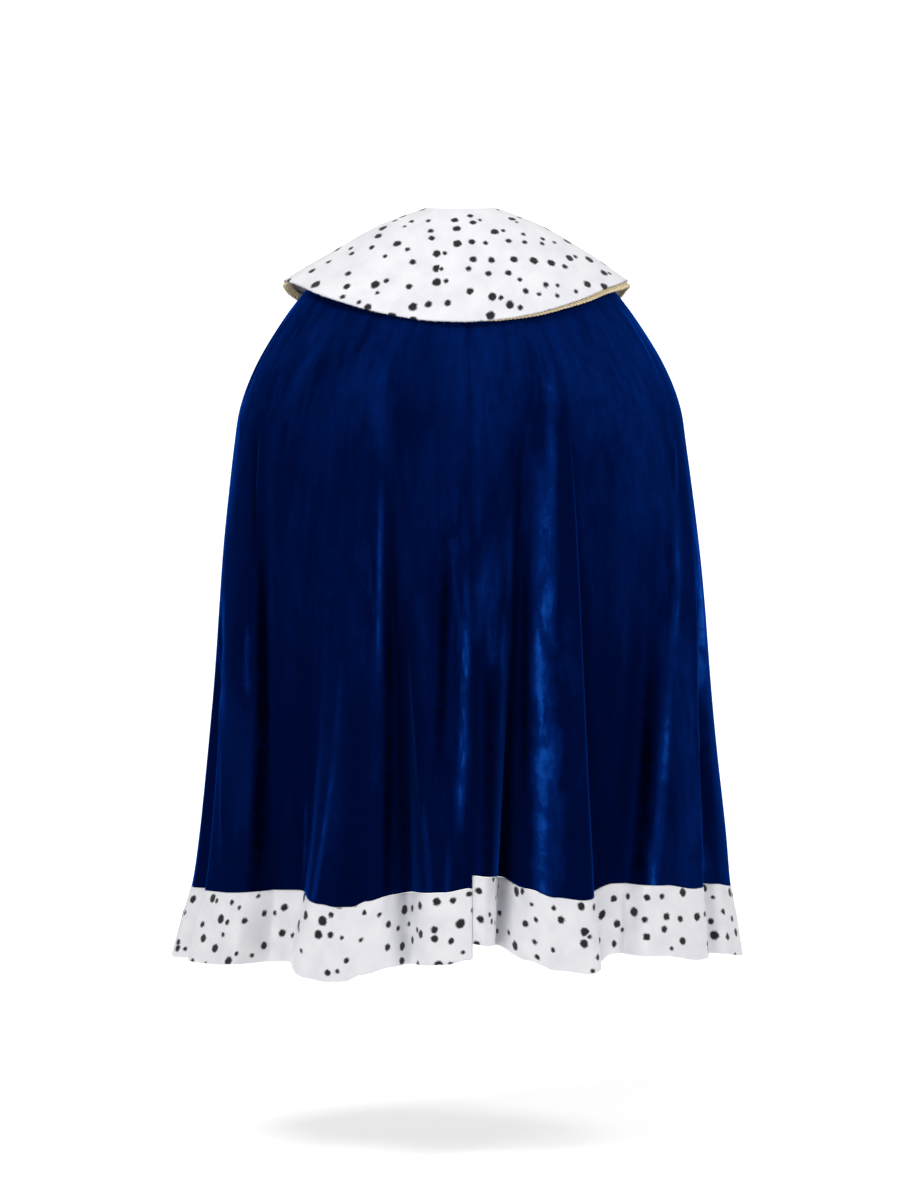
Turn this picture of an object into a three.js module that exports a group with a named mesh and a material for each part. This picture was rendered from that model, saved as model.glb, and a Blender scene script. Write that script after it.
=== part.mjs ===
// A king's cape in the shape it hangs in when it is worn: a long velvet cape in two halves,
// joined down the centre back, with a band of spotted plush round the hem, a broad plush
// collar edged with gold braid, and a hook and eye at the throat. Millimetres, +Z up. The
// origin is the middle of the neck opening; -Y is the back of the cape and +X its right side.
import * as THREE from "three";

// Driving sizes
const VELVET_THICKNESS = 1.6;
const BAND_THICKNESS = 3.4;
const COLLAR_THICKNESS = 3.6;
const BRAID_WIDTH = 17;
const BRAID_THICKNESS = 1.8;
const BRAID_GAP = 0.75; // between it and the collar over it
const WIRE_RADIUS = 0.6; // of the hook and eye
const FASTENER_DROP = 5; // how far below the neck seam their lines are measured from
const FASTENER_CLEAR = 0.6; // what the velvet's slight curve needs between it and them
const SEAM_GAP = 0.35;
const BAND_SEAM_STEP = 0.65; // down the cloth, so slanting threads leave the seam gap too
const SEAM_TURN = 2.5; // the centre-back seam, in degrees round from the middle of the back
const HEM_HEIGHT = -1250;
const HEM_SAG_STARTS = -560; // below this the rings follow the uneven line of the hem

// Rings of the cape from the neck down. Heights at the back, side and front, then how far the
// ring reaches to the left and right of the middle, and behind and before it.
const CAPE_RINGS = [
  { place: "neck seam", back: -3, side: 1, front: -33, left: 60, right: 64, behind: 60, before: 63 },
  { place: "neck root", back: -42, side: -15, front: -68, left: 100, right: 102, behind: 76, before: 85 },
  { place: "shoulder", back: -92, side: -47, front: -114, left: 160, right: 160, behind: 102, before: 105 },
  { place: "shoulder end", back: -142, side: -88, front: -160, left: 220, right: 218, behind: 129, before: 121 },
  { place: "under the collar", back: -192, side: -136, front: -208, left: 264, right: 264, behind: 153, before: 134 },
  { place: "upper arm", back: -240, side: -191, front: -252, left: 305, right: 305, behind: 166, before: 143 },
  { place: "upper arm", back: -297, side: -259, front: -303, left: 345, right: 346, behind: 173, before: 151 },
  { place: "elbow", back: -350, side: -327, front: -353, left: 371, right: 373, behind: 178, before: 157 },
  { place: "elbow", back: -403, side: -395, front: -404, left: 382, right: 384, behind: 183, before: 162 },
  { place: "hip", back: -531, side: -531, front: -531, left: 397, right: 401, behind: 196, before: 169 },
  { place: "thigh", back: -667, side: -667, front: -667, left: 408, right: 415, behind: 210, before: 175 },
  { place: "thigh", back: -803, side: -803, front: -803, left: 418, right: 427, behind: 224, before: 181 },
  { place: "knee", back: -939, side: -939, front: -939, left: 430, right: 440, behind: 238, before: 188 },
  { place: "calf", back: -1050, side: -1050, front: -1050, left: 442, right: 452, behind: 250, before: 195 },
  { place: "band seam", back: -1135, side: -1135, front: -1135, left: 454, right: 460, behind: 258, before: 201 },
  { place: "band", back: -1192, side: -1192, front: -1192, left: 470, right: 471, behind: 265, before: 206 },
  { place: "hem", back: HEM_HEIGHT, side: HEM_HEIGHT, front: HEM_HEIGHT, left: 485, right: 481, behind: 272, before: 212 },
];
const BAND_LEVEL = CAPE_RINGS.findIndex((ring) => ring.place === "band seam");
const HEM_LEVEL = CAPE_RINGS.length - 1;

// Troughs between the cape's hanging folds, as degrees round from the middle of the back:
// where each is at the hem and where it starts, the height it starts at, its depth at the
// hem, how far it reaches before and after its deepest line, and how far its two walls lean
// over it.
const TROUGHS = [
  { hem: -146, top: -155, start: -320, depth: 46, before: 8, after: 9, leanBefore: 0, leanAfter: 4 },
  { hem: -124, top: -130, start: -430, depth: 52, before: 9, after: 8, leanBefore: 4, leanAfter: 0 },
  { hem: -102, top: -104, start: -560, depth: 44, before: 8, after: 9, leanBefore: 0, leanAfter: 0 },
  { hem: -74, top: -80, start: -640, depth: 26, before: 8, after: 7, leanBefore: 0, leanAfter: 0 },
  { hem: -42.5, top: -58, start: -460, depth: 34, before: 5, after: 7, leanBefore: 2, leanAfter: 0 },
  { hem: -37, top: -33, start: -640, depth: 34, before: 5, after: 5.5, leanBefore: 0, leanAfter: 3 },
  { hem: -10.5, top: -17.5, start: -250, depth: 56, before: 6, after: 5, leanBefore: 3, leanAfter: 4 },
  { hem: 7.4, top: 17.5, start: -215, depth: 72, before: 3.2, after: 7, leanBefore: 8, leanAfter: 0 },
  { hem: 29.5, top: 29, start: -225, depth: 30, before: 3, after: 6, leanBefore: 6, leanAfter: 0 },
  { hem: 35.5, top: 55.5, start: -560, depth: 38, before: 6, after: 4, leanBefore: 0, leanAfter: 5 },
  { hem: 63.5, top: 78, start: -600, depth: 24, before: 6, after: 4, leanBefore: 0, leanAfter: 3 },
  { hem: 88, top: 94, start: -620, depth: 34, before: 8, after: 8, leanBefore: 0, leanAfter: 0 },
  { hem: 110, top: 112, start: -540, depth: 48, before: 9, after: 8, leanBefore: 0, leanAfter: 3 },
  { hem: 130, top: 137, start: -400, depth: 52, before: 8, after: 8, leanBefore: 4, leanAfter: 0 },
  { hem: 150, top: 158, start: -300, depth: 38, before: 7, after: 7, leanBefore: 0, leanAfter: 0 },
];
// The two front edges, which part from the throat down to the hem.
const FRONT_EDGE = { hem: 162, top: 174 };

// How far each half's hem hangs below the mean height, round the cape. The left half is cut
// a little longer at the centre-back seam, so the line steps there.
const HEM_LINE = {
  left: [
    { turn: -162, drop: 2 },
    { turn: -120, drop: 8 },
    { turn: -80, drop: 10 },
    { turn: -58, drop: 9 },
    { turn: -38, drop: 0 },
    { turn: -30, drop: 20 },
    { turn: -24, drop: 27 },
    { turn: -19, drop: 13 },
    { turn: -14, drop: 2 },
    { turn: -3, drop: -5 },
    { turn: SEAM_TURN, drop: -14 },
  ],
  right: [
    { turn: SEAM_TURN, drop: -38 },
    { turn: 8, drop: -28 },
    { turn: 13, drop: -11 },
    { turn: 19, drop: 6 },
    { turn: 26, drop: 13 },
    { turn: 33, drop: -14 },
    { turn: 44, drop: -10 },
    { turn: 55, drop: 1 },
    { turn: 64, drop: -4 },
    { turn: 80, drop: 6 },
    { turn: 120, drop: 8 },
    { turn: 162, drop: 0 },
  ],
};

// Rings of the collar from the neck to its outer edge, with the same columns as the cape's.
const COLLAR_RINGS = [
  { place: "neck seam", back: -0.8, side: 6.1, front: -30.1, left: 61.6, right: 65.8, behind: 64.6, before: 67.6 },
  { place: "collar", back: -57, side: -22, front: -86, left: 138, right: 138, behind: 101, before: 106 },
  { place: "collar", back: -126, side: -66, front: -160, left: 216, right: 214, behind: 137, before: 136 },
  { place: "collar edge", back: -200, side: -115, front: -236, left: 299, right: 285, behind: 169, before: 157 },
];
const COLLAR_EDGE = COLLAR_RINGS.length - 1;
const COLLAR_END = { neck: 174, edge: 171 }; // where its two ends stop, in degrees from the back

// Shallow waves in the collar's outer edge: place, depth (below 0 stands proud) and reach.
const COLLAR_WAVES = [
  { turn: -142, depth: 7, reach: 16 },
  { turn: -108, depth: -5, reach: 14 },
  { turn: -66, depth: 5, reach: 11 },
  { turn: -47, depth: -5, reach: 10 },
  { turn: -18, depth: 5, reach: 14 },
  { turn: 30, depth: -4, reach: 14 },
  { turn: 60, depth: 5, reach: 12 },
  { turn: 112, depth: -5, reach: 14 },
  { turn: 146, depth: 7, reach: 16 },
];

// How far the braid's lower edge lies below the collar's edge, round the collar.
const BRAID_SHOWS = [
  { turn: -171, below: 9 },
  { turn: -92, below: 8 },
  { turn: -78, below: -4 },
  { turn: 2, below: -4 },
  { turn: 14, below: 1 },
  { turn: 30, below: 4 },
  { turn: 54, below: 8 },
  { turn: 74, below: 11 },
  { turn: 171, below: 9 },
];

// Lines of the wire hook and eye as they lie inside the throat: across from the middle
// (above 0 on the cape's right side), down, and in from the velvet.
const HOOK_WIRE = [
  { across: 12, down: 4.4, inward: 0.9 },
  { across: 15.4, down: 2.6, inward: 0.9 },
  { across: 18, down: 5, inward: 0.9 },
  { across: 16, down: 7.6, inward: 0.9 },
  { across: 11, down: 8.1, inward: 0.9 },
  { across: 5, down: 8.1, inward: 0.9 },
  { across: -2, down: 8.1, inward: 0.9 },
  { across: -4.2, down: 8.1, inward: 2.6 },
  { across: -2, down: 8.1, inward: 4.3 },
  { across: 2.6, down: 8.1, inward: 4.3 },
  { across: 4.2, down: 9.1, inward: 4.3 },
  { across: 2.6, down: 10.1, inward: 4.3 },
  { across: -2, down: 10.1, inward: 4.3 },
  { across: -4.2, down: 10.1, inward: 2.6 },
  { across: -2, down: 10.1, inward: 0.9 },
  { across: 5, down: 10.1, inward: 0.9 },
  { across: 11, down: 10.1, inward: 0.9 },
  { across: 16, down: 10.6, inward: 0.9 },
  { across: 18, down: 13.2, inward: 0.9 },
  { across: 15.4, down: 15.6, inward: 0.9 },
  { across: 12, down: 13.8, inward: 0.9 },
];
const EYE_WIRE = [
  { across: -12.5, down: 1.2, inward: 0.9 },
  { across: -15.6, down: -0.2, inward: 0.9 },
  { across: -17.6, down: 2.2, inward: 0.9 },
  { across: -15.4, down: 4.6, inward: 0.9 },
  { across: -11, down: 4.8, inward: 0.9 },
  { across: -6, down: 4.9, inward: 1.9 },
  { across: -2.8, down: 6, inward: 2.6 },
  { across: -2, down: 9.1, inward: 2.6 },
  { across: -2.8, down: 12.2, inward: 2.6 },
  { across: -6, down: 13.3, inward: 1.9 },
  { across: -11, down: 13.4, inward: 0.9 },
  { across: -15.4, down: 13.6, inward: 0.9 },
  { across: -17.6, down: 16, inward: 0.9 },
  { across: -15.6, down: 18.4, inward: 0.9 },
  { across: -12.5, down: 17, inward: 0.9 },
];

const radians = THREE.MathUtils.degToRad;
const clamp = THREE.MathUtils.clamp;

// A ring's value part-way between rings, on a smooth curve through them.
function ringValue(rings, level, column) {
  const last = rings.length - 1;
  const at = clamp(level, 0, last);
  const first = Math.min(Math.floor(at), last - 1);
  const share = at - first;
  const value = (index) => rings[clamp(index, 0, last)][column];
  const [a, b, c, d] = [value(first - 1), value(first), value(first + 1), value(first + 2)];
  const slopeIn = (c - a) / 2;
  const slopeOut = (d - b) / 2;
  const curve = 2 * b - 2 * c + slopeIn + slopeOut;
  const bend = 3 * (c - b) - 2 * slopeIn - slopeOut;
  return ((curve * share + bend) * share + slopeIn) * share + b;
}

// A value read from a table by turn, easing from each row to the next.
function roundValue(table, turn, column) {
  const last = table.length - 1;
  if (turn <= table[0].turn) return table[0][column];
  if (turn >= table[last].turn) return table[last][column];
  const next = table.findIndex((row) => row.turn > turn);
  const [from, to] = [table[next - 1], table[next]];
  const share = THREE.MathUtils.smoothstep(turn, from.turn, to.turn);
  return from[column] + (to[column] - from[column]) * share;
}

// A point of a ring: an oval with its own reach to the left, right, behind and before.
function ringPoint(rings, level, turn) {
  const across = Math.sin(radians(turn));
  const along = Math.cos(radians(turn));
  const halfWidth = ringValue(rings, level, across < 0 ? "left" : "right");
  const halfDepth = ringValue(rings, level, along > 0 ? "behind" : "before");
  const end = ringValue(rings, level, along > 0 ? "back" : "front");
  const side = ringValue(rings, level, "side");
  const height = side + (end - side) * along * along;
  return new THREE.Vector3(halfWidth * across, -halfDepth * along, height);
}

// The level way out from a ring, square to its oval.
function ringOutward(rings, level, turn) {
  const step = 0.5;
  const round = ringPoint(rings, level, turn + step).sub(ringPoint(rings, level, turn - step));
  return new THREE.Vector3(round.y, -round.x, 0).normalize();
}

// How far down its own length a fold line is, from 0 where it starts to 1 at the hem.
function shareDown(height, start) {
  return clamp((start - height) / (start - HEM_HEIGHT), 0, 1);
}

// The lines that keep their place in the cloth: the front edges, the seam and the troughs.
const FOLD_LINES = [
  { hem: -FRONT_EDGE.hem, top: -FRONT_EDGE.top, start: 0 },
  ...TROUGHS,
  { hem: SEAM_TURN, top: SEAM_TURN, start: 0 },
  { hem: FRONT_EDGE.hem, top: FRONT_EDGE.top, start: 0 },
].sort((one, other) => one.hem - other.hem);

// Where a thread that meets the hem at the given turn lies round the cape at some height.
function threadTurn(hemTurn, height) {
  const shift = (line) => (line.top - line.hem) * (1 - shareDown(height, line.start));
  const next = clamp(
    FOLD_LINES.findIndex((line) => line.hem > hemTurn),
    1,
    FOLD_LINES.length - 1,
  );
  const after = hemTurn >= FOLD_LINES[FOLD_LINES.length - 1].hem ? FOLD_LINES.length - 1 : next;
  const [from, to] = [FOLD_LINES[after - 1], FOLD_LINES[after]];
  const share = (hemTurn - from.hem) / (to.hem - from.hem);
  return hemTurn + shift(from) + (shift(to) - shift(from)) * share;
}

// The middle of a half's cloth, by the turn of its thread at the hem and its ring level.
function capePoint(side, hemTurn, level) {
  const meanHeight = ringValue(CAPE_RINGS, level, "side");
  const turn = threadTurn(hemTurn, meanHeight);
  const point = ringPoint(CAPE_RINGS, level, turn);
  // The hem's uneven line moves the cloth along its own slope.
  const sag = clamp((HEM_SAG_STARTS - meanHeight) / (HEM_SAG_STARTS - HEM_HEIGHT), 0, 1);
  const slope = ringPoint(CAPE_RINGS, level + 0.1, turn).sub(ringPoint(CAPE_RINGS, level - 0.1, turn));
  point.addScaledVector(slope, (roundValue(HEM_LINE[side], hemTurn, "drop") * sag) / -slope.z);
  const outward = ringOutward(CAPE_RINGS, level, turn);
  const sideways = new THREE.Vector3(-outward.y, outward.x, 0);
  for (const trough of TROUGHS) {
    const off = hemTurn - trough.hem;
    const reach = off < 0 ? trough.before : trough.after;
    const lean = off < 0 ? trough.leanBefore : -trough.leanAfter;
    if (Math.abs(off) >= reach) continue;
    const down = shareDown(meanHeight, trough.start);
    const grown = down * (1.7 - 0.7 * down);
    const fall = Math.cos((Math.PI / 2) * (off / reach)) ** 2;
    point.addScaledVector(outward, -trough.depth * grown * fall);
    point.addScaledVector(sideways, lean * grown * Math.sin(Math.PI * Math.abs(off / reach)));
  }
  return point;
}

// The collar's outer face, by turn and ring level.
function collarPoint(turn, level) {
  const point = ringPoint(COLLAR_RINGS, level, turn);
  const outward = ringOutward(COLLAR_RINGS, level, turn);
  const out = (level / COLLAR_EDGE) ** 2;
  for (const wave of COLLAR_WAVES) {
    const off = (turn - wave.turn) / wave.reach;
    if (Math.abs(off) < 1) point.addScaledVector(outward, -wave.depth * out * Math.cos((Math.PI / 2) * off) ** 2);
  }
  return point;
}

// The outward normal of a cloth surface, from its neighbours round and down.
function outwardNormal(surface, turn, level) {
  const round = surface(turn + 0.1, level).sub(surface(turn - 0.1, level));
  const down = surface(turn, level + 0.02).sub(surface(turn, level - 0.02));
  return down.cross(round).normalize();
}

// A closed body skinned over rings of points, each ring a closed loop of the same length.
function skinned(loops) {
  const around = loops[0].length;
  const faces = [];
  for (let ring = 0; ring < loops.length - 1; ring += 1) {
    for (let i = 0; i < around; i += 1) {
      const a = ring * around + i;
      const b = ring * around + ((i + 1) % around);
      faces.push(a, b, a + around, b, b + around, a + around);
    }
  }
  return { points: loops.flat(), faces, around };
}

// A wall of cloth: its outer and inner faces and the four edges that close it.
function clothWall(name, columns, levels, surface, outside, inside, material) {
  // Each column is a closed loop: down the outer face and back up the inner one.
  const loops = columns.map((turnAt) => {
    const face = (offset) =>
      levels.map((level) => {
        const turn = turnAt(level);
        return surface(turn, level).addScaledVector(outwardNormal(surface, turn, level), offset);
      });
    return [...face(outside), ...face(-inside).reverse()];
  });
  const { points, faces, around } = skinned(loops);
  const lastLoop = (loops.length - 1) * around;
  for (let row = 0; row < levels.length - 1; row += 1) {
    const [outer, inner] = [row, around - 1 - row];
    faces.push(outer, inner, outer + 1, inner, inner - 1, outer + 1);
    const [farOuter, farInner] = [lastLoop + outer, lastLoop + inner];
    faces.push(farOuter, farOuter + 1, farInner, farInner, farOuter + 1, farInner - 1);
  }
  return mesh(name, points, faces, material);
}

function mesh(name, points, faces, material) {
  const geometry = new THREE.BufferGeometry().setFromPoints(points);
  geometry.setIndex(faces);
  geometry.computeVertexNormals();
  const made = new THREE.Mesh(geometry, material);
  made.name = name;
  return made;
}

const velvet = new THREE.MeshStandardMaterial({ color: 0x0a1f66, roughness: 0.55, metalness: 0 });
const plush = new THREE.MeshStandardMaterial({ color: 0xf0eff2, roughness: 0.95, metalness: 0 });
const braid = new THREE.MeshStandardMaterial({ color: 0xc9a24a, roughness: 0.35, metalness: 0.8 });
const wire = new THREE.MeshStandardMaterial({ color: 0x9a9a9e, roughness: 0.3, metalness: 0.9 });

// Hem turns at which a half is cut into columns: close together in each trough, and no
// further apart than the widest step between them.
function columnTurns(from, to) {
  const widestStep = 7.5;
  const closest = 0.9;
  const wanted = [from, to];
  for (const { hem, before, after } of TROUGHS) {
    for (const share of [1, 0.72, 0.48, 0.24]) wanted.push(hem - share * before, hem + share * after);
    wanted.push(hem);
  }
  const inside = wanted.filter((turn) => turn >= from && turn <= to).sort((a, b) => a - b);
  const kept = [from];
  for (const turn of inside) {
    const gap = turn - kept[kept.length - 1];
    if (gap < closest || to - turn < closest) continue;
    const steps = Math.ceil(gap / widestStep);
    for (let i = 1; i < steps; i += 1) kept.push(turn - gap * (1 - i / steps));
    kept.push(turn);
  }
  kept.push(to);
  return kept;
}

// Each half of the cape stops half a gap short of the centre-back seam.
function halfColumns(side) {
  const turns =
    side === "left" ? columnTurns(-FRONT_EDGE.hem, SEAM_TURN) : columnTurns(SEAM_TURN, FRONT_EDGE.hem);
  return turns.map((turn) => (level) => {
    if (turn !== SEAM_TURN) return turn;
    const perDegree = capePoint(side, turn + 0.05, level).distanceTo(capePoint(side, turn - 0.05, level)) * 10;
    const away = SEAM_GAP / 2 / perDegree;
    return turn + (side === "left" ? -away : away);
  });
}

const cape = new THREE.Group();
const velvetLevels = [...Array(BAND_LEVEL + 1).keys()];
const firstBandStep = CAPE_RINGS[BAND_LEVEL].side - CAPE_RINGS[BAND_LEVEL + 1].side;
const bandStart = BAND_LEVEL + BAND_SEAM_STEP / firstBandStep;
const bandLevels = [bandStart, BAND_LEVEL + 0.7, BAND_LEVEL + 1.4, HEM_LEVEL];
for (const side of ["left", "right"]) {
  const columns = halfColumns(side);
  const cloth = (turn, level) => capePoint(side, turn, level);
  const half = VELVET_THICKNESS / 2;
  cape.add(clothWall(`velvet_${side}`, columns, velvetLevels, cloth, half, half, velvet));
  const bandHalf = BAND_THICKNESS / 2;
  cape.add(clothWall(`hem_band_${side}`, columns, bandLevels, cloth, bandHalf, bandHalf, plush));
}

// The collar: one broad ring, open at the throat.
const COLLAR_STEPS = 60;
const SHOULDER_CROWDING = 11; // degrees its columns are drawn towards the two shoulders
const collarLevels = [0, 0.6, 1.2, 1.8, 2.4, 3];
const collarColumns = [...Array(COLLAR_STEPS + 1).keys()].map((i) => (level) => {
  const end = COLLAR_END.neck + ((COLLAR_END.edge - COLLAR_END.neck) * level) / COLLAR_EDGE;
  const share = (2 * i) / COLLAR_STEPS - 1;
  return end * share + SHOULDER_CROWDING * Math.sin(2 * Math.PI * share);
});
cape.add(clothWall("collar", collarColumns, collarLevels, collarPoint, 0, COLLAR_THICKNESS, plush));

// A body skinned over the rings, with its two ends closed.
function capped(name, loops, material) {
  const { points, faces, around } = skinned(loops);
  const end = (loops.length - 1) * around;
  for (let i = 1; i < around - 1; i += 1) {
    faces.push(0, i + 1, i, end, end + i, end + i + 1);
  }
  return mesh(name, points, faces, material);
}

// The braid lies under the collar's outer edge, more or less of it showing below.
const braidLoops = collarColumns.map((turnAt) => {
  const turn = turnAt(COLLAR_EDGE);
  const edge = collarPoint(turn, COLLAR_EDGE);
  const down = edge.clone().sub(collarPoint(turn, collarLevels.at(-2))).normalize();
  const normal = outwardNormal(collarPoint, turn, COLLAR_EDGE);
  const row = (along, under) =>
    edge
      .clone()
      .addScaledVector(down, along)
      .addScaledVector(normal, -COLLAR_THICKNESS - BRAID_GAP - under);
  const below = roundValue(BRAID_SHOWS, turn, "below");
  return [
    row(below - BRAID_WIDTH, 0),
    row(below, 0),
    row(below, BRAID_THICKNESS),
    row(below - BRAID_WIDTH, BRAID_THICKNESS),
  ];
});
cape.add(capped("collar_braid", braidLoops, braid));

// The hook and eye are sewn inside the velvet at the throat, hooked into one another.
function insideThroat({ across, down, inward }) {
  const lining = (turn, level) => ringPoint(CAPE_RINGS, level, turn);
  const turn = 180 - THREE.MathUtils.radToDeg(Math.asin(across / CAPE_RINGS[0].right));
  const level = (FASTENER_DROP + down) / lining(turn, 0).distanceTo(lining(turn, 1));
  const depth = VELVET_THICKNESS / 2 + FASTENER_CLEAR + inward;
  return lining(turn, level).addScaledVector(outwardNormal(lining, turn, level), -depth);
}

function bentWire(name, line, steps) {
  const around = 6;
  const curve = new THREE.CatmullRomCurve3(line.map(insideThroat));
  const frames = curve.computeFrenetFrames(steps, false);
  const loops = curve.getSpacedPoints(steps).map((centre, i) =>
    [...Array(around).keys()].map((k) => {
      const angle = (2 * Math.PI * k) / around;
      return centre
        .clone()
        .addScaledVector(frames.normals[i], WIRE_RADIUS * Math.cos(angle))
        .addScaledVector(frames.binormals[i], WIRE_RADIUS * Math.sin(angle));
    }),
  );
  return capped(name, loops, wire);
}
cape.add(bentWire("throat_hook", HOOK_WIRE, 48));
cape.add(bentWire("throat_eye", EYE_WIRE, 36));

export default cape;
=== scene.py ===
import functools
import math
import random

import bmesh
import bpy
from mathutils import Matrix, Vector, noise


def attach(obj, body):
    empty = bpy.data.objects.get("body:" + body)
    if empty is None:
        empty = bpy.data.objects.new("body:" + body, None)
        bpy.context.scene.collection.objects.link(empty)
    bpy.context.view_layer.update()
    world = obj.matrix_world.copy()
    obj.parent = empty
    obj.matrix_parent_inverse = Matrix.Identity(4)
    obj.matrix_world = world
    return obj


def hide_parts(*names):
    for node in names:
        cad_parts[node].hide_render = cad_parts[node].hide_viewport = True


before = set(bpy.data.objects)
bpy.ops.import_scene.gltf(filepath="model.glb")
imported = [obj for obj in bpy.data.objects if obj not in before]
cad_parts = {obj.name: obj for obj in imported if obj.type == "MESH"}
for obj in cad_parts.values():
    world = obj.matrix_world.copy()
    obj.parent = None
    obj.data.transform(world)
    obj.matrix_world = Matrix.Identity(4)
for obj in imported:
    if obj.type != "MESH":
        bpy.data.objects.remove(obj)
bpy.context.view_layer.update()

# The velvet: two halves of crushed polyester velvet, cut from the neck to the hem band and
# joined down the centre back. They lie flat over the shoulders and elbows and fall from there
# into uneven folds that deepen down to the hem.
MM = 0.001
HEM_HEIGHT = -1250
HEM_SAG_STARTS = -560
SEAM_TURN = 2.5
VELVET_THICKNESS = 1.6

# Rings of the cape: heights at the back, side and front, then reach to the left, to the right,
# behind and before.
CAPE_RINGS = [
    (-3, 1, -33, 60, 64, 60, 63),  # neck seam
    (-42, -15, -68, 100, 102, 76, 85),
    (-92, -47, -114, 160, 160, 102, 105),
    (-142, -88, -160, 220, 218, 129, 121),
    (-192, -136, -208, 264, 264, 153, 134),  # under the collar's edge
    (-240, -191, -252, 305, 305, 166, 143),
    (-297, -259, -303, 345, 346, 173, 151),
    (-350, -327, -353, 371, 373, 178, 157),
    (-403, -395, -404, 382, 384, 183, 162),  # elbow
    (-531, -531, -531, 397, 401, 196, 169),
    (-667, -667, -667, 408, 415, 210, 175),
    (-803, -803, -803, 418, 427, 224, 181),
    (-939, -939, -939, 430, 440, 238, 188),
    (-1050, -1050, -1050, 442, 452, 250, 195),
    (-1135, -1135, -1135, 454, 460, 258, 201),  # seam to the hem band
    (-1192, -1192, -1192, 470, 471, 265, 206),
    (-1250, -1250, -1250, 485, 481, 272, 212),  # hem
]
BAND_LEVEL = 14
HEM_LEVEL = 16

# Troughs between the hanging folds: turn at the hem and at the start, height of the start,
# depth at the hem, reach before and after, and lean of the two walls.
TROUGHS = [
    (-146, -155, -320, 46, 8, 9, 0, 4),
    (-124, -130, -430, 52, 9, 8, 4, 0),
    (-102, -104, -560, 44, 8, 9, 0, 0),
    (-74, -80, -640, 26, 8, 7, 0, 0),
    (-42.5, -58, -460, 34, 5, 7, 2, 0),
    (-37, -33, -640, 34, 5, 5.5, 0, 3),
    (-10.5, -17.5, -250, 56, 6, 5, 3, 4),
    (7.4, 17.5, -215, 72, 3.2, 7, 8, 0),
    (29.5, 29, -225, 30, 3, 6, 6, 0),
    (35.5, 55.5, -560, 38, 6, 4, 0, 5),
    (63.5, 78, -600, 24, 6, 4, 0, 3),
    (88, 94, -620, 34, 8, 8, 0, 0),
    (110, 112, -540, 48, 9, 8, 0, 3),
    (130, 137, -400, 52, 8, 8, 4, 0),
    (150, 158, -300, 38, 7, 7, 0, 0),
]
FRONT_TURN_HEM = 162
FRONT_TURN_TOP = 174

# How far each half's hem hangs below its mean height, round the cape: turn and drop. The line
# steps at the centre-back seam, where the left half is a little longer.
HEM_LINE = {
    "left": [
        (-162, 2),
        (-120, 8),
        (-80, 10),
        (-58, 9),
        (-38, 0),
        (-30, 21),
        (-26, 26),
        (-22.5, 24.5),
        (-19, 13),
        (-14, 2),
        (-3, -5),
        (2.5, -14),
    ],
    "right": [
        (2.5, -38),
        (8, -28),
        (13, -11),
        (19, 6),
        (26, 13),
        (33, -14),
        (44, -10),
        (55, 1),
        (64, -4),
        (80, 6),
        (120, 8),
        (162, 0),
    ],
}

# Creases and ridges along the cloth: turn at the top and low end, both heights, depth (below 0
# is a ridge) and half width.
CREASES = [
    (-84, -80, -150, -340, 4, 15),
    (-76, -73, -150, -330, -3.5, 12),
    (-80, -74, -320, -400, -2, 7),
    (-64, -58, -340, -620, 3.5, 13),
    (-61, -49.5, -520, -1140, 4.5, 14),
    (-60, -57, -700, -820, -2, 7),
    (-86, -69, -680, -910, -2.5, 11),
    (-70, -60, -860, -1130, -2.5, 14),
    (-46, -41, -300, -640, 2, 22),
    (-36, -35, -960, -1110, -2.2, 6),
    (-26.8, -30.6, -700, -1140, -4.5, 8),
    (-24.5, -17.5, -205, -480, -2.2, 14),
    (-30, -24, -200, -420, 2, 14),
    (-19, -18.5, -440, -820, -3, 7),
    (-18.5, -18, -860, -1120, -2, 6),
    (-17, -13, -470, -1100, 5.5, 10),
    (-12, -6, -690, -1130, -3.6, 7),
    (-9, -4, -230, -560, 1.8, 10),
    (-4.5, -5, -620, -840, 3.5, 8),
    (-4.5, -3.5, -860, -1130, -2, 7),
    (-1, -0.5, -400, -520, -1.8, 6),
    (3.5, 1.5, -205, -380, 1.8, 7),
    (4.8, 4.2, -310, -600, -2, 6),
    (7, 6.5, -300, -600, 2.6, 7),
    (6, 5.5, -740, -1010, 4, 8),
    (8.5, 8, -620, -960, -2, 7),
    (17.5, 10, -290, -1000, 5, 10),
    (21, 17, -215, -330, 2.6, 8),
    (17.5, 15.5, -430, -1140, -3.6, 10),
    (21.5, 20.5, -450, -980, -1.8, 8),
    (28.5, 22.5, -205, -380, -2.8, 7),
    (34, 26.5, -205, -390, 2.6, 9),
    (25, 27, -460, -1135, -2.8, 8),
    (40, 37, -220, -560, 2, 16),
    (48, 44, -260, -560, -2, 18),
    (54, 37.5, -600, -1130, 3.6, 11),
    (58.5, 40.5, -560, -1140, -4.6, 8),
    (61, 53.5, -540, -790, -2.4, 6),
    (63.5, 56, -520, -720, -2.4, 8),
    (62, 62, -150, -310, 3, 14),
    (70, 67.5, -145, -300, -3.4, 12),
    (69.5, 66.5, -390, -500, -2.6, 9),
    (66, 62, -760, -1130, 2, 14),
    (80, 70, -540, -850, -3, 8),
    (70, 66, -820, -1140, -3, 8),
    (52, 49, -820, -1130, -2, 12),
]

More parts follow.
